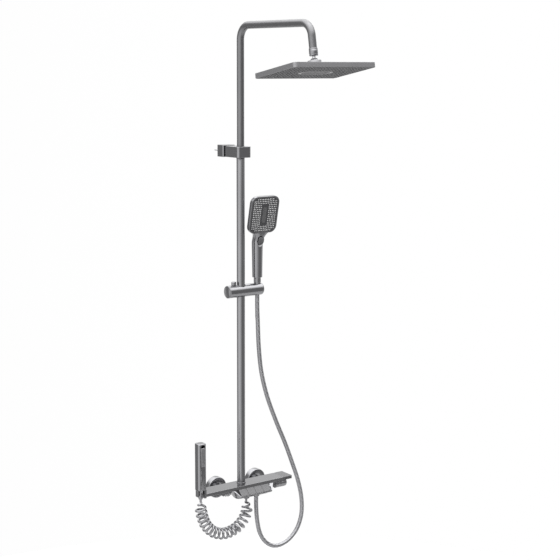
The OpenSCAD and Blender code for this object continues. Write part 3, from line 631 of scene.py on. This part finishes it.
housing_rings = []
for a, b in zip(SPOUT, SPOUT[1:]):
    housing_rings += [housing_ring(*(u + (v - u) * k / 4 for u, v in zip(a, b))) for k in range(4)]
housing_rings.append(housing_ring(*SPOUT[-1]))
housing = stack("spout_housing", housing_rings, LEVEL, 30)
KEYS_LEFT = PANEL_X - 2 * KEY_W
key_well = block("key_well", 4 * KEY_W, 27, 0.6, -8, 12, 0, 0, PANEL, (PANEL_X, -12.5), 2)
valve_well = block("valve_well", 4 * KEY_W, 22, 0.6, -13, 7, 0, 0, PANEL, (PANEL_X, -10), 2)
strip_well = block("strip_well", 84.2, 6.2, 0.3, -10, 4, 0, 0, LEVEL, (PANEL_X, -140), 2)
piece(carve(housing, key_well, valve_well, strip_well), "root", GUN_GLOSS, "gunmetal", "spout_shell")
for i in range(4):
    x = KEYS_LEFT + (i + 0.5) * KEY_W
    face = block("face", KEY_W - 0.6, 24.6, 1.0, -3, 0.4, 0.3, 0.5, PANEL, (x, -13.1), 3)
    knuckle = lathe("knuckle", [(1.6, -13.7), (2.8, -13.7), (2.8, 13.7), (1.6, 13.7)],
                    PANEL @ Matrix.Translation((x, -3.6, -5.2)) @ ALONG_X, 32, closed=True)
    stem = lathe("stem", [(1.6, -8.8), (2.3, -8.2), (2.3, -2.8)], PANEL @ Matrix.Translation((x, -14, 0)), 24)
    piece(join(f"key_{i + 1}_plate", face, knuckle, stem), f"key_{i + 1}", KEY_GREY, "key_grey", f"key_{i + 1}")

# ---- wall side ----
cup_profile = [(31.6, 0.1), (32.7, 0.1), (33, 0.4), (33, 17.6), (32.7, 18.8), (31.9, 19.7), (30.8, 20), (12.3, 20),
               (11.8, 19.8), (11.65, 19.3), (11.65, 18.5), (31.5, 18.5)]
hex_outline = rounded([(17.5 * math.cos(a), 17.5 * math.sin(a), 1.2) for a in
                       (math.radians(30 + 60 * k) for k in range(6))], 3)
cups, nuts = [], []
for x in (-INLET_X, INLET_X):
    toward = Matrix.Translation((x, 0, 0)) @ TOWARD_ROOM
    cups.append(lathe("cup", cup_profile, toward, 96, closed=True))
    blank = prism("blank", hex_outline, 46, 66, toward, 1.0)
    way = lathe("way", [(12.2, 40), (12.2, 70)], toward, 48)
    nuts.append(carve(blank, way))
piece(join("wall_cups", *cups), "root", GUN_Y, "gunmetal", "escutcheons")
piece(join("union_hex_nuts", *nuts), "root", GUN_FINE, "gunmetal", "union_nuts")

# ---- slider ----
SLIDER_LEFT, SLIDER_RIGHT = -84.0, 40.0
KNOB_X = -63.0
BARREL_AT = Matrix.Translation((0, RISER[1], SLIDER_Z)) @ ALONG_X
barrel_profile = [(18.4, SLIDER_LEFT), (SLIDER_R, SLIDER_LEFT + 0.6), (SLIDER_R, SLIDER_RIGHT - 6)]
barrel_profile += [(SLIDER_R - 6 + 6 * math.cos(a), SLIDER_RIGHT - 6 + 6 * math.sin(a))
                   for a in (math.pi / 2 * k / 8 for k in range(1, 9))]
barrel = lathe("slider_barrel", barrel_profile, BARREL_AT, 96)
riser_way = lathe("riser_way", [(14.0, -30), (14.0, 30)], place((*RISER, SLIDER_Z)), 64)
socket = lathe("socket", [(8.7, -20), (11.5, 16.4), (12.6, 17.4), (12.6, 30)], place((HANDSET_X, RISER[1], SLIDER_Z)),
               64)
spot_face = lathe("spot_face", [(19.6, 16.9), (19.6, 30)], place((HANDSET_X, RISER[1], SLIDER_Z)), 64)
knob_way = lathe("knob_way", [(3.3, 0), (3.3, 17.6), (4.2, 18.4), (4.2, 30)], place((KNOB_X, RISER[1], SLIDER_Z)), 32)
piece(carve(barrel, riser_way, socket, spot_face, knob_way), "slider", GUN_X, "gunmetal", "slider_body")
cap_profile = [(7.9, -76.2), (7.9, -84.2), (17.8, -84.2), (18.8, -84.6), (SLIDER_R, -85.1), (SLIDER_R, -85.8),
               (18.4, -86.4), (16.5, -86.5), (16.2, -86.3), (15.9, -86.5)]
piece(lathe("slider_end_cap", cap_profile, BARREL_AT, 96), "slider", GUN_FINE, "gunmetal", "slider_cap")
knob_profile = [(3.0, -4), (3.0, 19), (3.4, 19.3), (7.0, 19.3), (7.5, 19.9), (7.5, 21), (7.5, 27.8), (7.2, 28.8),
                (6.2, 29.7), (4.0, 30.2)]
piece(lathe("clamp_knob_fluted", knob_profile, place((KNOB_X, RISER[1], SLIDER_Z)), 72, flutes=18, depth=0.45,
            band=(20.5, 28)), "clamp_knob", GUN_FINE, "gunmetal", "clamp_knob")

# ---- handset ----
HANDLE_FOOT = 671.4
HANDLE_TOP = 777.0
cone_profile = [(7.8, 618), (8.45, 618), (10.9, 653), (10.9, 654.2), (10.5, 654.8), (10.5, 655.8), (10.95, 656.4),
                (11.1, 657), (11.1, 667.4), (10.6, 668), (10.6, 669), (11.0, 669.6), (11.0, 670.8), (7.7, 671)]
piece(lathe("cone_nut_turned", cone_profile, place((HANDSET_X, RISER[1], 0)), 96, flutes=30, depth=0.4,
            band=(657, 667.5)), "hose_end", GUN_FINE, "gunmetal", "cone_nut")


def oval_ring_at(center, a, b, power, lean, n=64):
    """Ring of a rounded section, a wide and b deep, leaning about X by degrees."""
    turn = Matrix.Rotation(math.radians(lean), 3, "X")
    out = []
    for k in range(n):
        c, s = math.cos(TAU * k / n), math.sin(TAU * k / n)
        x = a * math.copysign(abs(c) ** (2 / power), c)
        y = b * math.copysign(abs(s) ** (2 / power), s)
        out.append(Vector(center) + turn @ Vector((x, y, 0)))
    return out


handle = [oval_ring_at((HANDSET_X, RISER[1], HANDLE_FOOT + z), 15.5 - d, 15.5 - d, 2, 0)
          for z, d in ((0, 7.9), (0, 1.4), (0.4, 0.4), (1.4, 0))]
for k in range(1, 7):
    t = k / 6
    handle.append(oval_ring_at((HANDSET_X, RISER[1], HANDLE_FOOT + 1.4 + (HANDLE_TOP - HANDLE_FOOT - 1.4) * t),
                               15.5 + 1.7 * t, 15.5 + 1.7 * t, 2, 0))
NECK_STEPS = 14
for k in range(1, NECK_STEPS + 1):
    t = k / NECK_STEPS
    ease = t * t * (3 - 2 * t)
    handle.append(oval_ring_at((HANDSET_X, RISER[1] - 22.5 * ease, HANDLE_TOP + 52 * t), min(37.0, 17.2 + 43 * t ** 3),
                               17.2 - 11.6 * ease, 2 + 1.2 * ease, 12 * ease))
grip = stack("grip", handle, LEVEL, 50)
slab_rings = []
for e, inset in fillets(-7, 7, 5.0, 1.0, 6):
    outline = rectangle(102 - 2 * inset, 116 - 2 * inset, 22 - inset, 10)
    slab_rings.append([(x, y + 58, e) for x, y in outline])
slab = stack("slab", slab_rings, FACE_FRONT, 38)
face_recess = block("face_recess", 92.6, 106.6, 17.3, 5.4, 9, 0, 0, FACE_FRONT, (0, 58), 10)
carve(slab, face_recess)


def thumb_outline(grow):
    """Oval of the thumb button, grown by a margin."""
    return rectangle(19.8 + 2 * grow, 25.8 + 2 * grow, 9.88 + grow, 12)


seat = stack("seat", [[(x, y, z) for x, y in thumb_outline(g)] for z, g in ((-8, 0.3), (3, 0.3), (12, 4))], BUTTON)
carve(grip, seat)
piece(join("handset_shell", grip, slab), "handset", GUN_FINE, "gunmetal", "handset_body")
thumb_levels = ((-1.2, -0.4), (-1.0, 0), (2.6, 0), (3.4, -0.5), (3.6, -1.6), (3.2, -3.6), (3.1, -7))
thumb = stack("thumb_button_oval", [[(x, y, z) for x, y in thumb_outline(g)] for z, g in thumb_levels], BUTTON, 50)
piece(thumb, "thumb_button", GUN_DARK, "gunmetal", "thumb_button")

plate = block("spray_face", 91.8, 105.8, 16.9, 5.0, 6.9, 0, 0.4, FACE_FRONT, (0, 58), 10)
piece(plate, "handset", FACE_DARK, "dark_plastic", "handset_face")
SPRAY_PITCH = 6.1


def in_face(x, z):
    """Whether a nozzle fits between the face's rounded rim and its middle slot."""
    dx, dz = max(0.0, abs(x) - 28), max(0.0, abs(z) - 35)
    return math.hypot(dx, dz) < 14.8 and (abs(x) > 11 or abs(z) > 31)


spray_spots = [((i - 6.5) * SPRAY_PITCH, 58 + (j - 8) * SPRAY_PITCH) for i in range(14) for j in range(17)
               if in_face((i - 6.5) * SPRAY_PITCH, (j - 8) * SPRAY_PITCH)]
spray_tip = [(1.5, 6.5), (1.5, 7.0), (1.3, 7.5), (1.0, 7.8), (0.5, 7.8), (0.4, 7.5)]
slot_frame = block("slot_frame", 13, 50, 6.4, 6.5, 7.5, 0, 0.4, FACE_FRONT, (0, 58), 10)
piece(slot_frame, "handset", KEY_GREY, "key_grey")
face_field = nozzle_field("spray_nozzles", spray_spots, spray_tip, FACE_FRONT)
piece(face_field, "handset", SILICONE, "grey_rubber", "handset_nozzles")

# ---- sprayer ----
SPRAY_TOP = SPRAY_FOOT + 145.1
TRIGGER_TOP = SPRAY_FOOT + 129
ROSE_Z = SPRAY_FOOT + 117
TRIGGER_LEN = 54.0
spray_rings = []
for z, inset in fillets(SPRAY_FOOT + 0.1, SPRAY_TOP - 0.6, 1.2, 2.6, 6) + [(SPRAY_TOP - 0.25, 5.5), (SPRAY_TOP, 9.5)]:
    outline = rectangle(SPRAY_W - 2 * inset, SPRAY_W - 2 * inset, 7.5 - 0.6 * inset, 8)
    spray_rings.append([(x + SPRAY[0], y + SPRAY[1], z) for x, y in outline])
shaft = stack("shaft", spray_rings, LEVEL, 38)
slot_mid = TRIGGER_TOP + 5 - TRIGGER_LEN / 2
trigger_slot = block("trigger_slot", 15.2, TRIGGER_LEN + 14, 3.5, 5, 20, 0, 0,
                     Matrix.Translation((*SPRAY, slot_mid)) @ TOWARD_ROOM, steps=5)
nozzle_seat = lathe("nozzle_seat", [(8.15, 11), (8.15, 20)], Matrix.Translation((*SPRAY, ROSE_Z)) @ ALONG_Y, 48)
carve(shaft, trigger_slot, nozzle_seat)
neck_profile = [(3.5, -22), (5.6, -22), (5.9, -21.6), (5.9, -13.2), (8.0, -13.2), (8.2, -13), (8.2, -9), (7.9, -8.6),
                (7.9, -7.6), (8.2, -7.2), (8.2, 0.5), (3.5, 0.5)]
stem = lathe("stem", neck_profile, place((*SPRAY, SPRAY_FOOT)), 48, closed=True)
piece(join("sprayer_handle", shaft, stem), "sprayer", GUN_FINE, "gunmetal", "sprayer_body")
rose_profile = [(7.9, 11.2), (7.9, 16.2), (7.6, 16.8), (7.0, 17), (6.6, 16.7), (6.2, 16.6)]
rose_at = Matrix.Translation((*SPRAY, ROSE_Z)) @ ALONG_Y
rose = lathe("rose", rose_profile, rose_at, 48)
rose_spots = [(0, 0)] + [(r * math.cos(TAU * k / n), r * math.sin(TAU * k / n)) for r, n in ((2.4, 6), (4.9, 12))
                         for k in range(n)]
rose_tip = [(0.7, 16.4), (0.7, 16.7), (0.5, 17.0), (0.25, 17.0)]
piece(join("sprayer_rose", rose, nozzle_field("d", rose_spots, rose_tip, rose_at, 8)), "sprayer", BLACK,
      "dark_plastic", "sprayer_nozzle")
spray_nut = [(4.0, 18), (5.6, 18), (6.4, 18.4), (6.7, 19.2), (7.1, 23), (7.1, 30.6), (8.0, 31.2), (8.0, 33.4),
             (7.7, 33.9), (6.0, 33.9), (6.0, 26)]
piece(lathe("sprayer_nut_fluted", spray_nut, place((*SPRAY, 0)), 72, closed=True, flutes=18, depth=0.35,
            band=(22, 30.7)), "sprayer", GUN_FINE, "gunmetal", "sprayer_nut")
lever_outline = rounded([(5, 3, 1), (-0.6, 3, 1.6), (-2.2, -5, 6), (-5.8, -42, 9), (-5.3, -TRIGGER_LEN, 2.6),
                         (-0.6, -TRIGGER_LEN, 1.2), (2.2, -42, 8), (2.6, -6, 1), (5.2, -3, 1)], 6)
trigger_at = Matrix.Translation((SPRAY[0], SPRAY[1] - SPRAY_W / 2, TRIGGER_TOP))
trigger_at = trigger_at @ Matrix.Rotation(math.pi / 2, 4, "Z") @ Matrix.Rotation(math.pi / 2, 4, "X")
trigger = prism("trigger_blade", lever_outline, -7.1, 7.1, trigger_at, 1.1, 4)
piece(trigger, "trigger", GUN_SATIN, "key_grey", "trigger")

SLOT_HALF = 9.5
JAW = 6.0
fork_right = SPRAY[0] + SLOT_HALF
fork_outline = [(SPRAY[0] - SLOT_HALF - JAW, -137), (SPRAY[0] - SLOT_HALF, -137), (SPRAY[0] - SLOT_HALF, -129)]
fork_outline += [(SPRAY[0] - SLOT_HALF * math.cos(a), SPRAY[1] + SLOT_HALF * math.sin(a)) for a in
                 (math.pi * k / 20 for k in range(1, 20))]
fork_outline += [(fork_right, -129), (fork_right, -137), (-192, -137), (-192, -106), (fork_right + 1.5, -106)]
fork_outline += [(SPRAY[0] + (SLOT_HALF + JAW) * math.cos(a), SPRAY[1] + (SLOT_HALF + JAW) * math.sin(a)) for a in
                 (math.radians(46) + (math.pi - math.radians(46)) * k / 18 for k in range(19))]
fork = prism("fork", fork_outline, 28, 47.9, LEVEL, 0.8, 3)
root_block = block("fork_root", 7, 31, 0.8, 20, 28.2, 0.5, 0, LEVEL, (-195.5, -121.5), 3)
piece(join("sprayer_fork", fork, root_block), "root", GUN_GLOSS, "gunmetal", "fork_holder")


# ---- springs ----
def spring(name, where, r, wire, length, turns):
    """Coil spring standing on its frame's z = 0."""
    count = turns * 16
    rise = (length - 2 * wire) / count
    line = [where @ Vector((r * math.cos(TAU * k / 16), r * math.sin(TAU * k / 16), wire + rise * k))
            for k in range(count + 1)]
    return tube(name, line, wire, 8)


push = spring("button_coil", BUTTON @ Matrix.Translation((0, 0, -8)), 4.3, 0.4, 6.7, 5)
piece(push, "handset", STEEL, "steel", "button_spring")
pull_at = Matrix.Translation((SPRAY[0], SPRAY[1] - SPRAY_W / 2 + 8, TRIGGER_TOP - 36)) @ TOWARD_ROOM
pull = spring("trigger_coil", pull_at, 3.4, 0.35, 5.4, 4)
piece(pull, "sprayer", STEEL, "steel", "trigger_spring")

# ---- floor and light ----
FLOOR_Z = -1.05
FLOOR_R = 2.5
bpy.ops.mesh.primitive_circle_add(vertices=96, radius=FLOOR_R, fill_type="NGON", location=(0, -0.1, FLOOR_Z))
floor = bpy.context.object
floor.name = "floor"
floor_look = bpy.data.materials.new("floor_pale")
floor_look.use_nodes = True
floor_shader = floor_look.node_tree.nodes["Principled BSDF"]
floor_shader.inputs["Base Color"].default_value = (0.42, 0.42, 0.42, 1)
floor_shader.inputs["Roughness"].default_value = 0.95
floor_shader.inputs["Specular IOR Level"].default_value = 0.0
floor.data.materials.append(floor_look)

# Soft studio: (bearing, brightness) of its walls, the bearing in degrees from the line straight behind the camera.
# The walls stay where they are in other views, so those show grey behind the object.
STUDIO_WALLS = [(-180, 1.0), (-138, 0.95), (-122, 0.50), (-98, 0.42), (-82, 1.4), (-36, 1.7), (-6, 1.3), (24, 0.6),
                (50, 0.40), (84, 0.40), (106, 0.75), (134, 1.0), (180, 1.0)]
BRIGHTEST = 1.7
CEILING = 3.4
world = bpy.data.worlds.new("studio")
SCENE.world = world
world.use_nodes = True
sky, sky_links = world.node_tree.nodes, world.node_tree.links
way = sky.new("ShaderNodeTexCoord")
turn_about = sky.new("ShaderNodeMapping")
turn_about.inputs["Rotation"].default_value = (0, 0, -math.atan2(-LOOK.y, -LOOK.x))
sky_links.new(way.outputs["Generated"], turn_about.inputs["Vector"])
bearing = sky.new("ShaderNodeTexGradient")
bearing.gradient_type = "RADIAL"
sky_links.new(turn_about.outputs["Vector"], bearing.inputs["Vector"])
walls = sky.new("ShaderNodeValToRGB")
walls.color_ramp.interpolation = "EASE"
for k, (degrees, level) in enumerate(STUDIO_WALLS):
    at = 0.5 + degrees / 360
    stops = walls.color_ramp.elements
    stop = stops[0] if k == 0 else stops[-1] if k == len(STUDIO_WALLS) - 1 else stops.new(at)
    stop.position = at
    stop.color = [level / BRIGHTEST] * 3 + [1]
sky_links.new(bearing.outputs["Fac"], walls.inputs["Fac"])
height_of = sky.new("ShaderNodeSeparateXYZ")
sky_links.new(way.outputs["Generated"], height_of.inputs["Vector"])
toward_top = sky.new("ShaderNodeMapRange")
toward_top.interpolation_type = "SMOOTHSTEP"
toward_top.inputs["From Min"].default_value = 0.3
toward_top.inputs["From Max"].default_value = 0.75
sky_links.new(height_of.outputs["Z"], toward_top.inputs["Value"])
MIX_FACTOR, MIX_A, MIX_B = 0, 2, 3
blend_up = sky.new("ShaderNodeMix")
blend_up.inputs[MIX_B].default_value = CEILING
sky_links.new(toward_top.outputs["Result"], blend_up.inputs[MIX_FACTOR])
gain = sky.new("ShaderNodeMath")
gain.operation = "MULTIPLY"
gain.inputs[1].default_value = BRIGHTEST
sky_links.new(walls.outputs["Color"], gain.inputs[0])
sky_links.new(gain.outputs["Value"], blend_up.inputs[MIX_A])
sky_links.new(blend_up.outputs[0], sky["Background"].inputs["Strength"])
sky["Background"].inputs["Color"].default_value = (1.0, 1.0, 1.0, 1)


def softbox(name, at, toward, size, power):
    """Large soft light."""
    light = bpy.data.lights.new(name, "AREA")
    light.shape = "RECTANGLE"
    light.size, light.size_y = size
    light.energy = power
    ob = bpy.data.objects.new(name, light)
    SCENE.collection.objects.link(ob)
    ob.location = at
    ob.rotation_mode = "QUATERNION"
    ob.rotation_quaternion = (Vector(toward) - Vector(at)).to_track_quat("-Z", "Y")
    return ob


softbox("ceiling", (0.0, -0.6, 3.6), (0, -0.1, 0.6), (2.4, 1.0), 14)
SCENE.view_settings.view_transform = "Standard"
